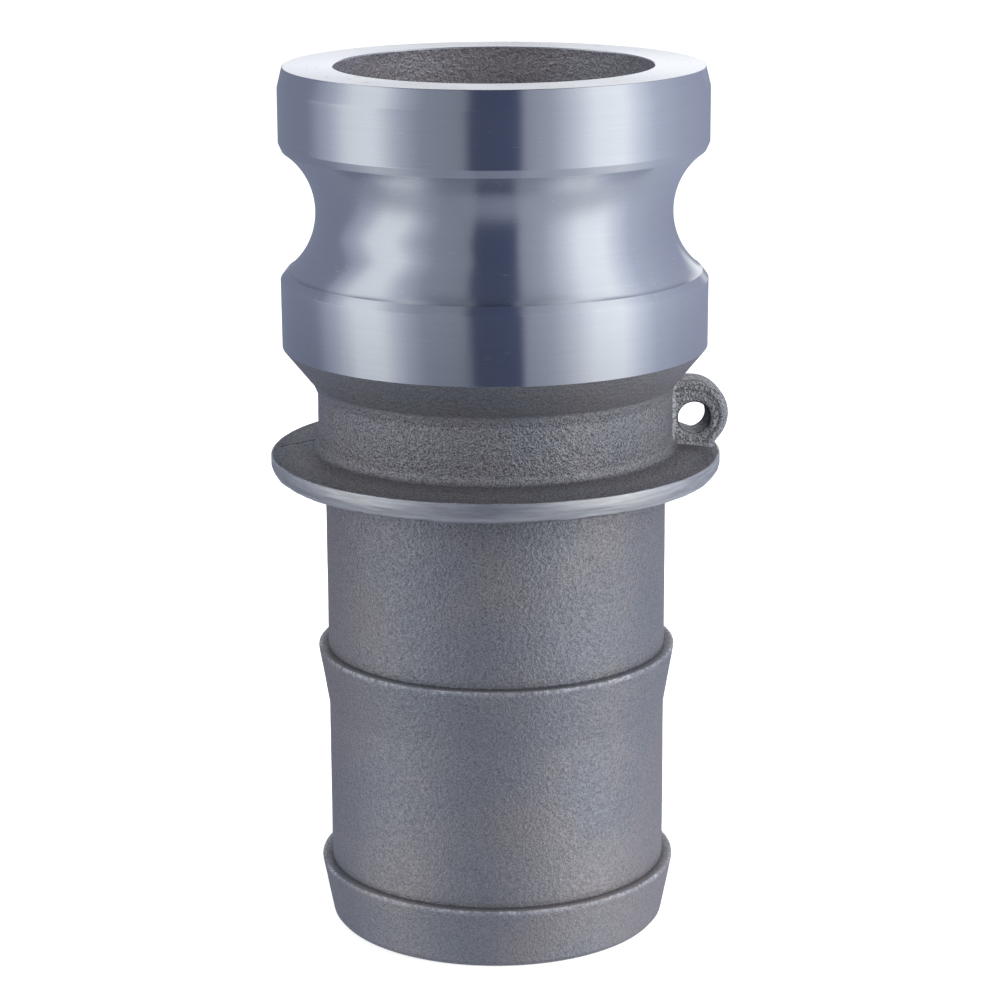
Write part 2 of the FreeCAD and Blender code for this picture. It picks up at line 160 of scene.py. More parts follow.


# Each corner of the section: radius, height, rounding, the longest step before it, relief, and painted
# shade, which is below zero where a painted highlight lies on an edge that wear has also brightened
section = [
    (SHANK_RADIUS - SHANK_WALL, 0.0, 0.2, 5.0, CAST, 0.0),
    (SHANK_RADIUS - 0.7, 0.0, 0.3, 1.2, CAST, 0.0),
    (SHANK_RADIUS - 0.06, 0.7, 0.5, 0.5, CAST, 0.0),
    *barb_corners(),
    # The last column paints shade in the corner under the flange, at the rim's foot, on the flange's top by
    # the rim and the collar, at both ends of the cone and in the bore, and highlights on the filed edges of
    # the rim and at the collar's foot
    (25.45, 67.4, 2.0, 0.8, CAST, 0.0),
    (25.5, 68.9, 0.6, 0.4, CAST, 0.4),
    (26.2, SHANK_LENGTH, 0.6, 0.4, CAST, 1.0),
    (32.1, SHANK_LENGTH, 0.2, 0.8, CAST, 0.3),
    (32.45, SHANK_LENGTH + 0.10, 0.2, 0.2, FILED, -0.2),
    (33.0, SHANK_LENGTH + 0.45, 0.9, 0.2, FILED, -0.2),
    (FLANGE_RADIUS, RIM_BOTTOM, 0.9, 0.2, FILED, 0.2),
    (FLANGE_RADIUS, RIM_TOP - 0.25, 0.0, 0.3, TURNED, 0.0),
    (FLANGE_RADIUS - 0.06, RIM_TOP, 0.1, 0.2, FILED, -0.3),
    (FLANGE_RADIUS - 0.35, RIM_TOP + 0.02, 0.1, 0.2, CAST, 0.8),
    (30.5, 73.2, 2.0, 0.45, CAST, 0.46),
    (27.3, 73.55, 0.5, 0.3, CAST, 0.8),
    (26.75, 73.85, 0.4, 0.2, CAST, 0.3),
    (COLLAR_RADIUS, 74.6, 0.6, 0.2, CAST, -0.04),
    (COLLAR_RADIUS, 75.6, 0.3, 0.2, CAST, 0.0),
    (COLLAR_RADIUS, 81.85, 1.2, 0.5, CAST, 0.0),
    (27.046, 83.45, 1.2, 0.5, CAST, 0.25),
    (HEAD_RADIUS, HEAD_BOTTOM, 0.12, 0.6, CAST, 0.25),
    *groove_corners(),
    (HEAD_RADIUS, 127.0, 2.0, 2.0, TURNED, 0.0),
    (30.75, FACE, 0.2, 1.0, TURNED, 0.0),
    (MOUTH_RADIUS + 0.15, FACE, 0.1, 1.5, TURNED, 0.0),
    (MOUTH_RADIUS, FACE - 0.15, 0.1, 0.2, TURNED, 0.0),
    (MOUTH_RADIUS, BORE_CONE[1], 2.0, 1.6, CAST, 0.3),
    (SHANK_RADIUS - SHANK_WALL, BORE_CONE[0], 2.0, 2.0, CAST, 0.3),
]


def softened(corners):
    """Rounds the corners of a closed section and divides its straight runs. Each point that comes out has a
    radius, a height, a relief and a painted shade, which below zero is a painted highlight."""
    places = [Vector((corner[0], corner[1])) for corner in corners]
    rounded = []
    for index, (_, _, radius, step, relief, shade_and_highlight) in enumerate(corners):
        here = places[index]
        back = places[index - 1] - here
        ahead = places[(index + 1) % len(corners)] - here
        turn = math.pi - back.angle(ahead)
        arc = [here]
        if radius > 0.0 and turn >= LEAST_TURN:
            reach = min(radius * math.tan(turn / 2), back.length * ROUNDED_SHARE,
                        ahead.length * ROUNDED_SHARE)
            start = here + back.normalized() * reach
            end = here + ahead.normalized() * reach
            steps = max(2, min(5, round(turn / STEP_TURN)))
            shares = [part / steps for part in range(steps + 1)]
            arc = [start * (1 - t) ** 2 + here * 2 * t * (1 - t) + end * t ** 2 for t in shares]
        rounded.append((arc, step, relief, shade_and_highlight))
    points = []
    for index, (arc, step, relief, shade_and_highlight) in enumerate(rounded):
        arc_before, _, _, shade_and_highlight_before = rounded[index - 1]
        before = arc_before[-1]
        run = (arc[0] - before).length
        if run > 4 * MARGIN and step < UNDIVIDED:
            parts = max(1, math.ceil((run - 2 * MARGIN) / step))
            for part in range(parts + 1):
                share = (MARGIN + (run - 2 * MARGIN) * part / parts) / run
                place = before + (arc[0] - before) * share
                points.append((place.x, place.y, relief, shade_and_highlight_before + (shade_and_highlight - shade_and_highlight_before) * share))
        points += [(p.x, p.y, relief, shade_and_highlight) for p in arc]
    return points


def section_mesh(points):
    """The section as a closed line in the XZ plane, with the relief and the painted shade and highlight of
    each point.
    """
    mesh = bpy.data.meshes.new("section")
    edges = [(i, (i + 1) % len(points)) for i in range(len(points))]
    mesh.from_pydata([(r * MM, 0.0, z * MM) for r, z, _, _ in points], edges, [])
    for column, name in ((2, "cast"), (3, "shade_and_highlight")):
        mesh.attributes.new(name, "FLOAT", "POINT").data.foreach_set("value", [p[column] for p in points])
    return mesh


def add_node(tree, kind, links=(), **settings):
    """A node with its settings, and each input given as (name or index, value or socket)."""
    made = tree.nodes.new(kind)
    for name, value in settings.items():
        setattr(made, name, value)
    for socket, value in links:
        if isinstance(value, bpy.types.NodeSocket):
            tree.links.new(value, made.inputs[socket])
        else:
            made.inputs[socket].default_value = value
    return made


def math_of(tree, operation, *values, **settings):
    """One operation on one to three numbers or sockets."""
    inputs = list(enumerate(values))
    return add_node(tree, "ShaderNodeMath", inputs, operation=operation, **settings).outputs[0]


def product_of(tree, first, *others):
    """All the values multiplied."""
    for other in others:
        first = math_of(tree, "MULTIPLY", first, other)
    return first


def sum_of(tree, first, *others):
    """All the values added."""
    for other in others:
        first = math_of(tree, "ADD", first, other)
    return first


def distance_of(tree, across, along):
    """How far a point lies from the middle, from its two coordinates."""
    squares = sum_of(tree, product_of(tree, across, across), product_of(tree, along, along))
    return math_of(tree, "SQRT", squares)


def range_of(tree, value, low, high, start=0.0, end=1.0):
    """Goes from start to end while the value goes from low to high."""
    return add_node(tree, "ShaderNodeMapRange", [
        (0, value), (1, low), (2, high), (3, start), (4, end)]).outputs[0]


def axes_of(tree, vector):
    """The three coordinates of a vector."""
    return add_node(tree, "ShaderNodeSeparateXYZ", [(0, vector)]).outputs


def position_of(tree):
    """The place of each point of a mesh."""
    return add_node(tree, "GeometryNodeInputPosition").outputs[0]


def attribute_of(tree, name):
    """A number that a mesh holds at each point."""
    return add_node(tree, "GeometryNodeInputNamedAttribute", [("Name", name)], data_type="FLOAT").outputs[0]


def marked(tree, mesh, name, value):
    """The mesh with a number kept at each point."""
    return add_node(tree, "GeometryNodeStoreNamedAttribute", [
        ("Geometry", mesh), ("Name", name), ("Value", value)], data_type="FLOAT", domain="POINT").outputs[0]


def new_tree(name, inputs):
    """An empty geometry tree with one geometry in and out and its named inputs."""
    tree = bpy.data.node_groups.new(name, "GeometryNodeTree")
    tree.interface.new_socket("Geometry", in_out="INPUT", socket_type="NodeSocketGeometry")
    tree.interface.new_socket("Geometry", in_out="OUTPUT", socket_type="NodeSocketGeometry")
    for label, kind in inputs:
        tree.interface.new_socket(label, in_out="INPUT", socket_type="NodeSocket" + kind)
    return tree, tree.nodes.new("NodeGroupInput").outputs, tree.nodes.new("NodeGroupOutput").inputs[0]


def finish_tree(tree, source, result, mesh, finishes):
    """Smooths the mesh, makes it real and gives its faces the named finishes, later over earlier."""
    done = add_node(tree, "GeometryNodeSetShadeSmooth", [("Geometry", mesh)]).outputs[0]
    done = add_node(tree, "GeometryNodeRealizeInstances", [("Geometry", done)]).outputs[0]
    for name, faces in finishes:
        done = add_node(tree, "GeometryNodeSetMaterial", [
            ("Geometry", done), ("Selection", faces), ("Material", source[name])]).outputs[0]
    tree.links.new(done, result)
    return tree


# The size of the broad swells and the small lumps that sand leaves, as (noise scale, detail), and the
# level of the noise that stays at the skin
SWELLS = (110.0, 2.0)
LUMPS = (620.0, 1.0)
SKIN_LEVEL = 0.62


def sand_relief(tree, source, mesh, share):
    """Lets the skin sink along its own normal, as sand leaves it. It never rises past its size."""
    depths = []
    for name, (scale, detail) in (("Swell", SWELLS), ("Lumps", LUMPS)):
        noise = add_node(tree, "ShaderNodeTexNoise", [
            ("Vector", position_of(tree)), ("W", source["Seed"]), ("Scale", scale), ("Detail", detail)],
            noise_dimensions="4D").outputs[0]
        depths.append(product_of(tree, math_of(tree, "SUBTRACT", noise, SKIN_LEVEL), source[name]))
    height = math_of(tree, "MINIMUM", product_of(tree, sum_of(tree, *depths), share), 0.0)
    normal = add_node(tree, "GeometryNodeInputNormal").outputs[0]
    offset = add_node(tree, "ShaderNodeVectorMath", [(0, normal), ("Scale", height)],
                      operation="SCALE").outputs[0]
    return add_node(tree, "GeometryNodeSetPosition", [("Geometry", mesh), ("Offset", offset)]).outputs[0]


END_FADE = 0.6  # the relief starts over this height at the end of the shank
FACE_EDGE = 0.3  # the strip below the face that the lathe has cut clean
WALL_ROOM = 0.05  # how far outside the mouth's wall a face still belongs to the bore
RELIEF_ROOM = 0.5  # how much farther below that strip, where the sand has left its relief
RIM_SKIN = 0.9  # how far in the bright skin of the rim reaches
SAME_PLACE = 0.002  # points nearer than this are one point


def turning_tree():
    """Turns the section round the axis, lets the cast skin sink a little and gives each face its finish."""
    tree, source, result = new_tree("turned casting", [
        ("Segments", "Int"), ("Swell", "Float"), ("Lumps", "Float"), ("Seed", "Float"),
        ("Head Bottom", "Float"), ("Face", "Float"), ("Mouth Radius", "Float"), ("Rim Radius", "Float"),
        ("Rim Top", "Float"), ("Turned Finish", "Material"), ("Cast Finish", "Material"),
        ("Cored Finish", "Material")])
    outline = source["Geometry"]
    rings = add_node(tree, "GeometryNodeAttributeDomainSize", [("Geometry", outline)]).outputs["Point Count"]
    shell = add_node(tree, "GeometryNodeMeshGrid", [
        ("Size X", 1.0), ("Size Y", 1.0), ("Vertices X", sum_of(tree, source["Segments"], 1.0)),
        ("Vertices Y", sum_of(tree, rings, 1.0))]).outputs["Mesh"]
    flat = axes_of(tree, position_of(tree))
    angle = product_of(tree, sum_of(tree, flat[0], 0.5), 2 * math.pi)
    row = math_of(tree, "ROUND", product_of(tree, sum_of(tree, flat[1], 0.5), rings))
    index = math_of(tree, "MODULO", row, rings)

    def on_outline(value, kind):
        """A value at the point of the section that a point of the grid comes from."""
        return add_node(tree, "GeometryNodeSampleIndex", [
            ("Geometry", outline), ("Value", value), ("Index", index)],
            data_type=kind, domain="POINT").outputs[0]

    for name in ("cast", "shade_and_highlight"):
        shell = marked(tree, shell, name, on_outline(attribute_of(tree, name), "FLOAT"))
    turned = add_node(tree, "ShaderNodeVectorRotate", [
        ("Vector", on_outline(position_of(tree), "FLOAT_VECTOR")), ("Angle", angle)],
        rotation_type="Z_AXIS").outputs[0]
    shell = add_node(tree, "GeometryNodeSetPosition", [("Geometry", shell), ("Position", turned)]).outputs[0]
    shell = add_node(tree, "GeometryNodeMergeByDistance", [
        ("Geometry", shell), ("Distance", SAME_PLACE * MM)]).outputs[0]

    place = axes_of(tree, position_of(tree))
    ends = math_of(tree, "MULTIPLY", place[2], 1 / (END_FADE * MM), use_clamp=True)
    shell = sand_relief(tree, source, shell, product_of(tree, attribute_of(tree, "cast"), ends))

    radius = distance_of(tree, place[0], place[1])
    face_edge = math_of(tree, "SUBTRACT", source["Face"], FACE_EDGE * MM)
    below_face = math_of(tree, "LESS_THAN", place[2], face_edge)
    wall = sum_of(tree, source["Mouth Radius"],
                  math_of(tree, "MULTIPLY_ADD", below_face, RELIEF_ROOM * MM, WALL_ROOM * MM))
    inside = math_of(tree, "LESS_THAN", radius, wall)
    head = product_of(tree, math_of(tree, "GREATER_THAN", place[2], source["Head Bottom"]),
                      math_of(tree, "GREATER_THAN", radius, wall))
    rim_skin = math_of(tree, "SUBTRACT", source["Rim Radius"], RIM_SKIN * MM)
    rim = product_of(tree, math_of(tree, "GREATER_THAN", radius, rim_skin),
                     math_of(tree, "LESS_THAN", place[2], source["Rim Top"]))
    machined = math_of(tree, "MAXIMUM", head, rim)
    return finish_tree(tree, source, result, shell, [
        ("Cast Finish", True), ("Cored Finish", inside), ("Turned Finish", machined)])


def made_by(tree, mesh, name, values):
    """Runs a tree on a mesh with its named inputs set, and keeps the result as a plain mesh."""
    blank = bpy.data.objects.new(name + "_blank", mesh)
    bpy.context.scene.collection.objects.link(blank)
    steps = blank.modifiers.new(name, "NODES")
    steps.node_group = tree
    sockets = {s.name: s.identifier for s in tree.interface.items_tree if s.in_out == "INPUT"}
    for label, value in values.items():
        steps[sockets[label]] = value
    bpy.context.view_layer.update()
    result = bpy.data.meshes.new_from_object(blank.evaluated_get(bpy.context.evaluated_depsgraph_get()))
    bpy.data.objects.remove(blank)
    result.name = name
    piece = bpy.data.objects.new(name, result)
    bpy.context.scene.collection.objects.link(piece)
    return piece


def new_finish(name):
    """A material with one Principled shader, and the object's own coordinates."""
    material = bpy.data.materials.new(name)
    material.use_nodes = True
    tree = material.node_tree
    coordinates = add_node(tree, "ShaderNodeTexCoord").outputs["Object"]
    return material, tree, tree.nodes["Principled BSDF"], coordinates


def ramp_of(tree, value, stops):
    """A colour ramp with the given (place, colour) stops."""
    ramp = add_node(tree, "ShaderNodeValToRGB", [(0, value)])
    elements = ramp.color_ramp.elements
    while len(elements) < len(stops):
        elements.new(0.5)
    for element, (place, colour) in zip(elements, stops):
        element.position = place
        element.color = (*colour, 1.0)
    return ramp.outputs[0]


def grey_ramp(tree, value, stops):
    """A ramp between plain numbers, as (place, number) stops."""
    return ramp_of(tree, value, [(place, (number, number, number)) for place, number in stops])


def by_height(tree, height, stops):
    """A number up to 2 that changes with the height, as (height in millimetres, number) stops."""
    ramp = grey_ramp(tree, math_of(tree, "MULTIPLY", height, 10.0),
                     [(z / 100, number / 2) for z, number in stops])
    return math_of(tree, "MULTIPLY", ramp, 2.0)


def noise_of(tree, coordinates, scale, detail, stretch=(1.0, 1.0, 1.0), roughness=0.5):
    """Noise in the object's own coordinates, finer or coarser along each axis."""
    placed = add_node(tree, "ShaderNodeMapping", [("Vector", coordinates), ("Scale", stretch)]).outputs[0]
    return add_node(tree, "ShaderNodeTexNoise", [
        ("Vector", placed), ("Scale", scale), ("Detail", detail), ("Roughness", roughness)]).outputs[0]


def mix_of(tree, share, first, second, blend="MIX"):
    """Two colours mixed by a share."""
    return add_node(tree, "ShaderNodeMix", [(0, share), (6, first), (7, second)],
                    data_type="RGBA", blend_type=blend).outputs[2]


# the colour of the painted highlight on edges, which wear has partly brightened
WORN_HIGHLIGHT_METAL = (0.90, 0.91, 0.93, 1.0)
SCRATCHED = (0.95, 0.95, 0.96, 1.0)
# the colours of the painted shade in corners, on turned and on cast metal
SHADE_ON_TURNED = (0.12, 0.125, 0.14, 1.0)
SHADE_ON_CAST = (0.10, 0.10, 0.115, 1.0)
RIM_FINISH_TOP = 76.0  # turned metal below this height is the flange's rim
RIM_LIMITS = (74.0 * MM, 80.0 * MM)  # where its gloss gives way to the head's


def with_shade_and_highlight(tree, coordinates, tone, shade_tone, share):
    """Paints shade into a finish where the shade_and_highlight attribute is above zero, and where it is below
    zero paints a highlight on the edge, as of metal that wear has bared, broken into dashes.
    """
    shade_and_highlight = add_node(tree, "ShaderNodeAttribute", attribute_name="shade_and_highlight").outputs["Fac"]
    dark = math_of(tree, "MULTIPLY", shade_and_highlight, share, use_clamp=True)
    broad_breakup = range_of(tree, noise_of(tree, coordinates, 120.0, 2.0), 0.38, 0.62, 0.25, 1.0)
    fine_breakup = range_of(tree, noise_of(tree, coordinates, 1700.0, 2.0), 0.36, 0.68, 0.2, 3.6)
    uneven = product_of(tree, broad_breakup, fine_breakup)
    # the painted highlight on the edges, partly real wear, broken into dashes by the two noises
    worn_highlight = math_of(tree, "MULTIPLY", product_of(tree, shade_and_highlight, -1.0), uneven, use_clamp=True)
    return mix_of(tree, worn_highlight, mix_of(tree, dark, tone, shade_tone), WORN_HIGHLIGHT_METAL)


def turned_finish():
    """Freshly turned aluminium: fine marks of the tool round the axis, short light scratches and smudges.
    The rim of the flange is duller, and streaked where it was filed."""
    material, tree, shader, coordinates = new_finish("turned_aluminium")
    place = axes_of(tree, coordinates)
    along = sum_of(tree, place[2], product_of(tree, distance_of(tree, place[0], place[1]), 0.5))
    path = add_node(tree, "ShaderNodeCombineXYZ", [(0, place[0]), (1, place[1]), (2, along)]).outputs[0]
    lines = noise_of(tree, path, 1.0, 2.0, (60.0, 60.0, 3800.0))
    scratches = noise_of(tree, path, 1.0, 1.0, (420.0, 420.0, 3300.0))
    smudges = noise_of(tree, coordinates, 70.0, 3.0)
    streaks = noise_of(tree, coordinates, 1.0, 3.0, (230.0, 230.0, 2400.0), 0.6)
    light = range_of(tree, scratches, 0.70, 0.76)

    # Colour
    ground = ramp_of(tree, lines, [(0.3, (0.74, 0.75, 0.773)), (0.7, (0.765, 0.775, 0.795))])
    ground = mix_of(tree, product_of(tree, light, 0.35), ground, SCRATCHED)
    scored = ramp_of(tree, streaks, [
        (0.35, (0.92, 0.88, 0.82)), (0.50, (1.05, 1.01, 0.945)), (0.66, (1.20, 1.16, 1.09))])
    on_rim = math_of(tree, "LESS_THAN", place[2], RIM_FINISH_TOP * MM)
    ground = mix_of(tree, on_rim, ground, mix_of(tree, 1.0, ground, scored, "MULTIPLY"))
    # Painted shade in the corners and painted highlights on the edges, partly wear
    tree.links.new(with_shade_and_highlight(tree, coordinates, ground, SHADE_ON_TURNED, 0.8), shader.inputs["Base Color"])

    # Gloss, drawn out along the marks of the tool, and the marks themselves
    rough = sum_of(tree, product_of(tree, smudges, 0.10), 0.15, product_of(tree, light, 0.12),
                   range_of(tree, place[2], *RIM_LIMITS, 0.24, 0.0))
    tree.links.new(rough, shader.inputs["Roughness"])
    shader.inputs["Metallic"].default_value = 1.0
    tree.links.new(range_of(tree, place[2], *RIM_LIMITS, 0.0, 0.85), shader.inputs["Anisotropic"])
    shader.inputs["Anisotropic Rotation"].default_value = 0.25
    tangent = add_node(tree, "ShaderNodeTangent", direction_type="RADIAL", axis="Z").outputs[0]
    tree.links.new(tangent, shader.inputs["Tangent"])
    height = sum_of(tree, lines, product_of(tree, light, 0.6))
    bump = add_node(tree, "ShaderNodeBump", [("Strength", 0.12), ("Distance", 0.02 * MM), ("Height", height)])
    tree.links.new(bump.outputs[0], shader.inputs["Normal"])
    return material


# By height: how deep the grain is, which handling has smoothed on the shank, and how light the metal is
GRAIN_BY_HEIGHT = [(0.0, 0.42), (45.0, 0.54), (69.0, 0.64), (70.5, 0.88), (73.9, 1.0), (82.2, 1.0),
                   (83.5, 0.36)]
TONE_BY_HEIGHT = [(0.0, 1.14), (60.0, 1.0), (73.5, 0.96), (82.2, 0.96), (84.0, 1.06)]
LUMP_SHARE = 0.42  # how coarse the grain is beside the lumps


def cast_finish(name, cool, warm, size, depth, contrast):
    """The skin that sand leaves: cool and warm grey patches, and a grain of the given size and depth."""
    material, tree, shader, coordinates = new_finish(name)
    height = axes_of(tree, coordinates)[2]
    grain = noise_of(tree, coordinates, 1.0 / (size * MM), 1.0)
    lumps = noise_of(tree, coordinates, LUMP_SHARE / (size * MM), 1.0)
    patches = noise_of(tree, coordinates, 75.0, 3.0)
    clouds = noise_of(tree, coordinates, 30.0, 2.0)

    # Colour: the patches, then the dark and light of the grain, then painted shade in corners and painted
    # highlights on edges, partly wear
    tone = ramp_of(tree, sum_of(tree, product_of(tree, patches, 0.6), product_of(tree, clouds, 0.4)),
                   [(0.40, cool), (0.60, warm)])
    dark = grey_ramp(tree, grain, [(0.32, 1.0 - contrast), (0.5, 1.0), (0.68, 1.0 + contrast * 0.6)])
    rise = by_height(tree, height, GRAIN_BY_HEIGHT)
    tone = mix_of(tree, math_of(tree, "MULTIPLY", rise, 1.05, use_clamp=True), tone,
                  mix_of(tree, 1.0, tone, dark, "MULTIPLY"))
    tone = with_shade_and_highlight(tree, coordinates, tone, SHADE_ON_CAST, 0.6)
    lightness = by_height(tree, height, TONE_BY_HEIGHT)
    tone = add_node(tree, "ShaderNodeVectorMath", [(0, tone), ("Scale", lightness)],
                    operation="SCALE").outputs[0]
    tree.links.new(tone, shader.inputs["Base Color"])

    # The grain glints on its lumps, and stands out of the skin
    shader.inputs["Metallic"].default_value = 0.9
    tree.links.new(range_of(tree, lumps, 0.35, 0.75, 0.62, 0.38), shader.inputs["Roughness"])
    relief = product_of(tree, sum_of(tree, grain, product_of(tree, lumps, 1.8)), rise)
    bump = add_node(tree, "ShaderNodeBump", [("Strength", 1.0), ("Distance", depth * MM), ("Height", relief)])
    tree.links.new(bump.outputs[0], shader.inputs["Normal"])
    return material


turned_aluminium = turned_finish()
cast_skin = cast_finish("cast_skin", cool=(0.380, 0.382, 0.396), warm=(0.435, 0.403, 0.398),
                        size=0.24, depth=0.13, contrast=0.52)
cored_skin = cast_finish("cored_skin", cool=(0.49, 0.48, 0.51), warm=(0.50, 0.455, 0.46),
                         size=0.30, depth=0.22, contrast=0.9)
casting = made_by(turning_tree(), section_mesh(softened(section)), "adapter", {
    "Segments": SEGMENTS, "Swell": 0.16 * MM, "Lumps": 0.07 * MM, "Seed": 3.0,
    "Head Bottom": HEAD_BOTTOM * MM, "Face": FACE * MM, "Mouth Radius": MOUTH_RADIUS * MM,
    "Rim Radius": FLANGE_RADIUS * MM, "Rim Top": (RIM_TOP - 0.03) * MM,
    "Turned Finish": turned_aluminium, "Cast Finish": cast_skin, "Cored Finish": cored_skin})

# The chain lug: the eye for the chain of a dust cap, cast on in the same metal. It is worked out as a solid
# field round its outline, so that its fillets run into the collar and the flange. Its skin is the coarsest,
# with the line round the eye where the halves of the mould met.

LUG_HALF = 3.25  # half its thickness
LUG_EYE = (29.498, 77.80)
LUG_EYE_RADIUS = 5.28
EYE_STEPS = 40
LUG_FOOT = (31.2, 71.375)  # the outer corner of its foot, inside the flange
LUG_SUNK = 24.15  # how far in its outline runs, under the skin of the collar
LUG_HOLE = (29.52, 77.28)
LUG_HOLE_RADIUS = 2.3
LUG_HOLE_EDGE = 0.9  # rounding at both ends of the hole
LUG_EDGE = 1.3  # rounding all round the lug
LUG_FILLET = 0.8  # where it meets the collar and the flange
LUG_BORDER = 1.2  # the border that stands round its sunk sides
LUG_BORDER_SLOPE = 0.35
LUG_SIDE_DEPTH = 0.28
CONE_SLOPE = 0.81
FLANGE_SLOPE = math.tan(math.radians(6.0))
RIM_CLEAR = 0.4  # how far the metal under the lug stays inside the rim
UNDER_SKIN = 0.12  # and how far below the skin, so that only the lug and its fillets show
LUG_BOX = ((25.2, -8.0, 70.6), (36.0, 8.0, 86.0))
GRID_STEP = 0.25


def lug_outline():
    """The corners of the lug's outline from the side, its eye sampled."""
    foot = Vector(LUG_FOOT)
    eye = Vector(LUG_EYE)
    gap = foot - eye
    start = math.atan2(gap.y, gap.x) + math.acos(LUG_EYE_RADIUS / gap.length)
    turns = [start + (math.pi / 2 - start) * step / EYE_STEPS for step in range(EYE_STEPS + 1)]
    arc = [(eye.x + LUG_EYE_RADIUS * math.cos(a), eye.y + LUG_EYE_RADIUS * math.sin(a)) for a in turns]
    return [(LUG_SUNK, LUG_FOOT[1]), LUG_FOOT, *arc, (LUG_SUNK, arc[-1][1])]


def distance_to(outline, across, up):
    """The distance of each point to a closed outline, negative inside it."""
    nearest = np.full(across.shape, np.inf)
    inside = np.zeros(across.shape, bool)
    for (ax, ay), (bx, by) in zip(outline, outline[1:] + outline[:1]):
        dx, dy = bx - ax, by - ay
        share = np.clip(((across - ax) * dx + (up - ay) * dy) / (dx * dx + dy * dy), 0, 1)
        nearest = np.minimum(nearest, np.hypot(across - ax - share * dx, up - ay - share * dy))
        if dy:
            inside ^= ((ay > up) != (by > up)) & (across < dx * (up - ay) / dy + ax)
    return np.where(inside, -nearest, nearest)


def blended(first, second, reach):
    """The union of two fields with a fillet between them."""
    overlap = np.maximum(reach - np.abs(first - second), 0) / reach
    return np.minimum(first, second) - overlap * overlap * reach / 4


def lug_field(x, y, z):
    """The lug with its sunk sides and its hole, and the metal just under the skin that it stands on."""
    edge = distance_to(lug_outline(), x, z)
    across = edge + LUG_EDGE
    side_depth = LUG_SIDE_DEPTH * np.clip((-edge - LUG_BORDER) / LUG_BORDER_SLOPE, 0, 1)
    through = np.abs(y) - LUG_HALF + side_depth + LUG_EDGE
    plate = np.minimum(np.maximum(across, through), 0) - LUG_EDGE
    plate += np.hypot(np.maximum(across, 0), np.maximum(through, 0))
    radius = np.hypot(x, y)
    wall = radius - COLLAR_RADIUS - CONE_SLOPE * np.maximum(z - COLLAR_TOP, 0)
    flange_top = RIM_TOP + (FLANGE_RADIUS - radius) * FLANGE_SLOPE
    flange = np.maximum(z - flange_top, radius - FLANGE_RADIUS + RIM_CLEAR)
    solid = blended(plate, np.minimum(wall, flange) + UNDER_SKIN, LUG_FILLET)
    hole = LUG_HOLE_RADIUS - np.hypot(x - LUG_HOLE[0], z - LUG_HOLE[1])
    return -blended(-solid, -hole, LUG_HOLE_EDGE)


def field_mesh(name, field, low, high):
    """The skin of a field inside a box, as a closed mesh."""
    axes = [np.arange(a - 2 * GRID_STEP, b + 2.5 * GRID_STEP, GRID_STEP) for a, b in zip(low, high)]
    x, y, z = np.meshgrid(*axes, indexing="ij")
    box = np.maximum.reduce([low[0] - x, x - high[0], low[1] - y, y - high[1], low[2] - z, z - high[2]])
    grid = openvdb.FloatGrid()
    grid.background = 10.0
    grid.copyFromArray(np.maximum(field(x, y, z), box))
    points, _, quads = grid.convertToPolygons(0.0, 0.0)
    places = np.array([a[0] for a in axes]) + points * GRID_STEP
    mesh = bpy.data.meshes.new(name)
    mesh.from_pydata([tuple(p) for p in places * MM], [], [tuple(q) for q in quads])
    return mesh


FLASH_HALF_WIDTH = 0.2  # the flash line at the collar, on both sides of the lug, painted light as a highlight
FLASH_CLEAR = 2.4
PARTING_RADIUS = 5.1  # the dark line round the top of the eye
PARTING_HALF_WIDTH = 0.14
PARTING_RISE = 3.2
HOLE_WALL_ROOM = 0.3
HOLE_SHADE = (-1.9 * MM, -0.9 * MM)  # the wall of the hole is painted with shade above these heights from its middle


def lug_tree():
    """Gives the lug the coarse relief of the sand, a painted highlight along the flash at the collar, painted
    shade on the upper wall of its hole, the dark line round the eye, and its finish.
    """
    tree, source, result = new_tree("cast lug", [
        ("Swell", "Float"), ("Lumps", "Float"), ("Seed", "Float"), ("Flash Radius", "Float"),
        ("Hole X", "Float"), ("Hole Z", "Float"), ("Hole Radius", "Float"), ("Lug Finish", "Material")])
    rough = sand_relief(tree, source, source["Geometry"], 1.0)
    place = axes_of(tree, position_of(tree))
    radius = distance_of(tree, place[0], place[1])
    flash_highlight = math_of(tree, "COMPARE", radius, source["Flash Radius"], FLASH_HALF_WIDTH * MM)
    beside = math_of(tree, "GREATER_THAN", math_of(tree, "ABSOLUTE", place[1]), FLASH_CLEAR * MM)
    up = math_of(tree, "SUBTRACT", place[2], source["Hole Z"])
    apart = distance_of(tree, math_of(tree, "SUBTRACT", place[0], source["Hole X"]), up)
    wall = math_of(tree, "LESS_THAN", apart, sum_of(tree, source["Hole Radius"], HOLE_WALL_ROOM * MM))
    shade = range_of(tree, up, *HOLE_SHADE)
    ring = math_of(tree, "COMPARE", apart, PARTING_RADIUS * MM, PARTING_HALF_WIDTH * MM)
    upper = math_of(tree, "GREATER_THAN", up, PARTING_RISE * MM)
    # Painted highlight along the flash line by the collar, painted shade on the upper wall of the hole, and
    # the dark line round the top of the eye
    shade_and_highlight = sum_of(tree, product_of(tree, flash_highlight, beside, -0.45), product_of(tree, wall, shade, 1.4),
                  product_of(tree, ring, upper, 0.7))
    return finish_tree(tree, source, result, marked(tree, rough, "shade_and_highlight", shade_and_highlight), [("Lug Finish", True)])


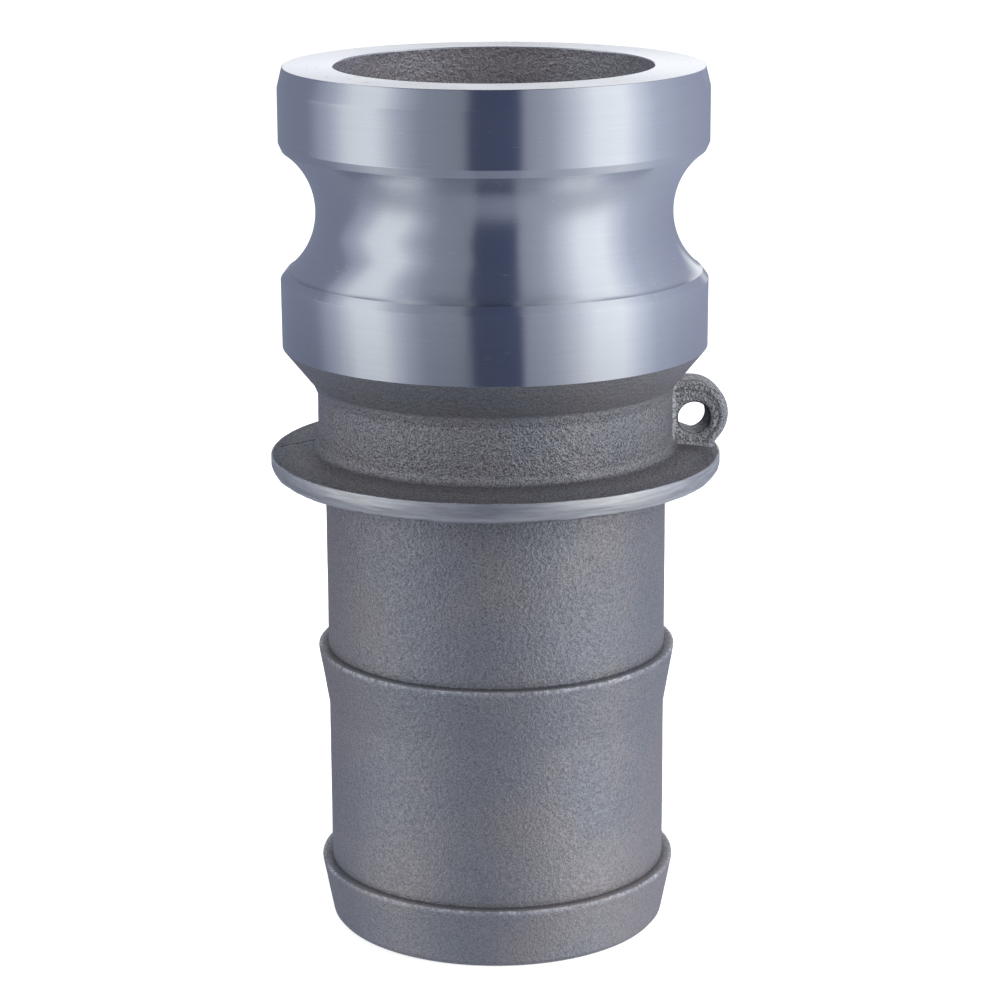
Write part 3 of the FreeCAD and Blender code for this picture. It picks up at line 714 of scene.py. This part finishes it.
# Lighter than the cast skin: partly its coarser sand skin, partly painted light for the front face that takes
# more light
lit_lug_skin = cast_finish("lit_lug_skin", cool=(0.49, 0.50, 0.505), warm=(0.54, 0.525, 0.515),
                       size=0.26, depth=0.18, contrast=0.50)
lug = made_by(lug_tree(), field_mesh("lug_blank", lug_field, *LUG_BOX), "chain_lug", {
    "Swell": 0.10 * MM, "Lumps": 0.09 * MM, "Seed": 8.0, "Flash Radius": (COLLAR_RADIUS + 0.25) * MM,
    "Hole X": LUG_HOLE[0] * MM, "Hole Z": LUG_HOLE[1] * MM, "Hole Radius": LUG_HOLE_RADIUS * MM,
    "Lug Finish": lit_lug_skin})

# The one casting: the lug and the turned body are one metal, so their meshes are joined into one skin, and
# the thin mark that a step in the mould left on the flange is cut into it.

FINISHES = [turned_aluminium, cast_skin, cored_skin, lit_lug_skin]
MARK_START = (-32.3, 3.5, 73.0)
MARK_END = (-26.7, 4.9, 73.6)
MARK_WIDTH = 0.60
MARK_DEPTH = 0.70


def with_finishes(mesh):
    """Gives a mesh the whole list of finishes, so that joined meshes agree on their order. Geometry Nodes
    leave one slot empty, which no face uses."""
    old = [slot.name if slot else "" for slot in mesh.materials]
    wanted = [finish.name for finish in FINISHES]
    indices = [wanted.index(old[face.material_index]) for face in mesh.polygons]
    mesh.materials.clear()
    for finish in FINISHES:
        mesh.materials.append(finish)
    mesh.polygons.foreach_set("material_index", indices)


def joined(target, tool, operation):
    """Adds or cuts a closed shape, and keeps the result as the target's own mesh."""
    with_finishes(target.data)
    with_finishes(tool.data)
    step = target.modifiers.new("joined", "BOOLEAN")
    step.operation = operation
    step.solver = "MANIFOLD"
    step.object = tool
    bpy.context.view_layer.update()
    result = bpy.data.meshes.new_from_object(target.evaluated_get(bpy.context.evaluated_depsgraph_get()))
    target.modifiers.remove(step)
    target.data = result
    bpy.data.objects.remove(tool)


def mark_tool():
    """A long thin wedge, point down, that cuts the mark of the mould."""
    start, end = Vector(MARK_START), Vector(MARK_END)
    run = (end - start).normalized()
    side = Vector((-run.y, run.x, 0.0)) * MARK_WIDTH
    up = Vector((0.0, 0.0, MARK_DEPTH))
    corners = []
    for place in (start, end):
        corners += [place + side + up, place - side + up, place - up]
    mesh = bpy.data.meshes.new("mark_tool")
    mesh.from_pydata([tuple(corner * MM) for corner in corners], [],
                     [(0, 2, 1), (3, 4, 5), (0, 1, 4, 3), (1, 2, 5, 4), (2, 0, 3, 5)])
    mesh.materials.append(cast_skin)
    tool = bpy.data.objects.new("mark_tool", mesh)
    bpy.context.scene.collection.objects.link(tool)
    return tool


joined(casting, lug, "UNION")
joined(casting, mark_tool(), "DIFFERENCE")
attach(casting, "root")
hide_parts("adapter_casting")

# The studio: a pale floor that the camera sees as white, and a surround of soft boxes and flags which only
# the metal mirrors, as such a fitting is lit on a table.

FLOOR_SIZE = 6.0
FLOOR_LEVEL = -0.2 * MM
WHITE = (1.0, 1.0, 1.0, 1.0)
FILL_TONE = (0.94, 0.96, 1.0, 1.0)
FLOOR_TONE = (0.30, 0.30, 0.32, 1.0)
FLOOR_SEEN_TONE = (0.80, 0.80, 0.80, 1.0)


def seen_white(tree):
    """1 for what the camera sees, in a mirror or through glass as well."""
    path = add_node(tree, "ShaderNodeLightPath").outputs
    return math_of(tree, "MAXIMUM", path["Is Camera Ray"],
                   math_of(tree, "MAXIMUM", path["Is Glossy Ray"], path["Is Transmission Ray"]))


world = bpy.data.worlds.new("studio")
world.use_nodes = True
bpy.context.scene.world = world
sky = world.node_tree
sky.nodes.clear()
shown = add_node(sky, "ShaderNodeBackground", [("Color", WHITE), ("Strength", 1.0)]).outputs[0]
fill = add_node(sky, "ShaderNodeBackground", [("Color", FILL_TONE), ("Strength", 0.55)]).outputs[0]
either = add_node(sky, "ShaderNodeMixShader", [(0, seen_white(sky)), (1, fill), (2, shown)]).outputs[0]
add_node(sky, "ShaderNodeOutputWorld", [(0, either)])

floor_mesh = bpy.data.meshes.new("floor")
half = FLOOR_SIZE / 2
floor_mesh.from_pydata([(-half, -half, FLOOR_LEVEL), (half, -half, FLOOR_LEVEL), (half, half, FLOOR_LEVEL),
                        (-half, half, FLOOR_LEVEL)], [], [(0, 1, 2, 3)])
floor = bpy.data.objects.new("floor", floor_mesh)
bpy.context.scene.collection.objects.link(floor)
floor_paint, tree, shader, _ = new_finish("floor_paint")
seen = seen_white(tree)
tree.links.new(mix_of(tree, seen, FLOOR_TONE, FLOOR_SEEN_TONE), shader.inputs["Base Color"])
shader.inputs["Roughness"].default_value = 0.9
shader.inputs["Specular IOR Level"].default_value = 0.0
shader.inputs["Emission Color"].default_value = WHITE
tree.links.new(math_of(tree, "MULTIPLY", seen, 0.6), shader.inputs["Emission Strength"])
floor_mesh.materials.append(floor_paint)
floor.visible_glossy = False

# The tones of the surround from left to right, by the angle in degrees at which a standing wall that
# faces halfway mirrors them. The strips run overhead, from in front of the object to behind it.
STRIP_TONES = [
    (-180, (112, 118, 136)), (-118, (110, 116, 134)), (-110, (138, 144, 161)), (-98, (158, 164, 179)),
    (-87, (201, 206, 213)), (-68, (204, 210, 216)), (-55, (157, 162, 177)), (-41, (121, 128, 142)),
    (-17, (115, 119, 132)), (-12.5, (61, 67, 87)), (13, (60, 68, 92)), (16, (129, 134, 147)),
    (30, (144, 150, 164)), (43, (184, 189, 201)), (54, (219, 224, 231)), (71, (227, 232, 238)),
    (80, (199, 205, 219)), (94, (164, 172, 190)), (116, (150, 156, 175)), (150, (136, 142, 162)),
    (180, (112, 118, 136)),
]
# The strips on the left are narrower at some heights, from the bottom at 0 to the top at 1.
NARROWING = [(0.0, 0.45), (0.5, 0.0), (0.7, 0.17), (0.84, 0.0)]
TABLE_TONES = ((116, 122, 137), (140, 146, 160))
BACK_TONE = (231, 233, 238)
CEILING_TONE = (62, 66, 78)

# Over the strips lie the table, low down, a bright paper behind the object and a dark ceiling above it.
# Their limits are angles in degrees and shares of the surround's radius.
TABLE_RISE = (-46.0, -26.0)
TABLE_SHARE = 0.3
PAPER_RISE = (-1.0, 3.0)
PAPER_MIDDLE = 0.12
PAPER_EDGE = (0.18, 0.36)
CEILING_RISE = (21.0, 27.0)
CEILING_END = (84.0, 106.0)
CEILING_EDGE = (0.28, 0.44)
SURROUND_RADIUS = 2.0
SURROUND_CENTRE = (0.0, 0.0, 0.105)
SURROUND_TURN = math.radians(-5.2)
SURROUND_POWER = 1.30


def linear(colour):
    """A colour as a screen shows it, from 0 to 255, in linear light."""
    shares = [tone / 255 for tone in colour]
    return tuple(s / 12.92 if s <= 0.04045 else ((s + 0.055) / 1.055) ** 2.4 for s in shares)


def angle_range(tree, value, limits, start=0.0, end=1.0):
    """Goes from start to end between two angles in degrees."""
    return range_of(tree, value, math.radians(limits[0]), math.radians(limits[1]), start, end)


surround_mesh = bpy.data.meshes.new("surround")
ball = bmesh.new()
bmesh.ops.create_uvsphere(ball, u_segments=96, v_segments=48, radius=SURROUND_RADIUS)
bmesh.ops.reverse_faces(ball, faces=ball.faces)
ball.to_mesh(surround_mesh)
ball.free()
surround = bpy.data.objects.new("surround", surround_mesh)
bpy.context.scene.collection.objects.link(surround)
surround.location = SURROUND_CENTRE
surround.rotation_euler = (0.0, 0.0, SURROUND_TURN)

surround_paint = bpy.data.materials.new("surround_paint")
surround_paint.use_nodes = True
tree = surround_paint.node_tree
tree.nodes.clear()
point = axes_of(tree, add_node(tree, "ShaderNodeTexCoord").outputs["Object"])
unit = [math_of(tree, "DIVIDE", axis, SURROUND_RADIUS) for axis in point]
strip = math_of(tree, "ARCTAN2", unit[0], math_of(tree, "SUBTRACT", 1.0, unit[1]))
narrow = product_of(tree, grey_ramp(tree, math_of(tree, "MULTIPLY_ADD", unit[2], 0.5, 0.5), NARROWING),
                    math_of(tree, "LESS_THAN", strip, 0.0))
strip = product_of(tree, strip, sum_of(tree, narrow, 1.0))
turn = math_of(tree, "ADD", math_of(tree, "MULTIPLY", strip, 1.0 / math.pi), 0.5, use_clamp=True)
around = ramp_of(tree, turn, [((degrees + 180) / 360, linear(colour)) for degrees, colour in STRIP_TONES])
table = ramp_of(tree, range_of(tree, unit[0], -0.5, 0.5), [
    (0.2, linear(TABLE_TONES[0])), (0.8, linear(TABLE_TONES[1]))])
low = angle_range(tree, math_of(tree, "ARCSINE", unit[2]), TABLE_RISE, TABLE_SHARE, 1.0)
tones = mix_of(tree, low, table, around)

over = math_of(tree, "ARCTAN2", unit[2], unit[1])
beyond = angle_range(tree, over, CEILING_RISE)
from_middle = math_of(tree, "ABSOLUTE", math_of(tree, "SUBTRACT", unit[0], PAPER_MIDDLE))
paper = product_of(tree, angle_range(tree, over, PAPER_RISE), math_of(tree, "SUBTRACT", 1.0, beyond),
                   range_of(tree, from_middle, *PAPER_EDGE, 1.0, 0.0))
ceiling = product_of(tree, beyond, angle_range(tree, over, CEILING_END, 1.0, 0.0),
                     range_of(tree, math_of(tree, "ABSOLUTE", unit[0]), *CEILING_EDGE, 1.0, 0.0))
tones = mix_of(tree, paper, tones, (*linear(BACK_TONE), 1.0))
tones = mix_of(tree, ceiling, tones, (*linear(CEILING_TONE), 1.0))
glow = add_node(tree, "ShaderNodeEmission", [("Color", tones), ("Strength", SURROUND_POWER)]).outputs[0]
add_node(tree, "ShaderNodeOutputMaterial", [(0, glow)])
surround_mesh.materials.append(surround_paint)
for ray in ("camera", "diffuse", "shadow", "transmission", "volume_scatter"):
    setattr(surround, "visible_" + ray, False)

# Two square soft lamps, the stronger on the right, look at the middle of the object.
LAMP_SIZE = 0.5
LAMP_TARGET = Vector((0.0, 0.0, 0.065))

for name, place, power in (("lamp_right", Vector((0.75, -0.55, 0.55)), 14.0),
                           ("lamp_left", Vector((-0.80, -0.45, 0.40)), 5.0)):
    lamp_data = bpy.data.lights.new(name, "AREA")
    lamp_data.shape = "SQUARE"
    lamp_data.size = LAMP_SIZE
    lamp_data.energy = power
    lamp = bpy.data.objects.new(name, lamp_data)
    lamp.location = place
    lamp.rotation_euler = (LAMP_TARGET - place).to_track_quat("-Z", "Y").to_euler()
    lamp.visible_glossy = False
    bpy.context.scene.collection.objects.link(lamp)

bpy.context.scene.view_settings.view_transform = "Standard"
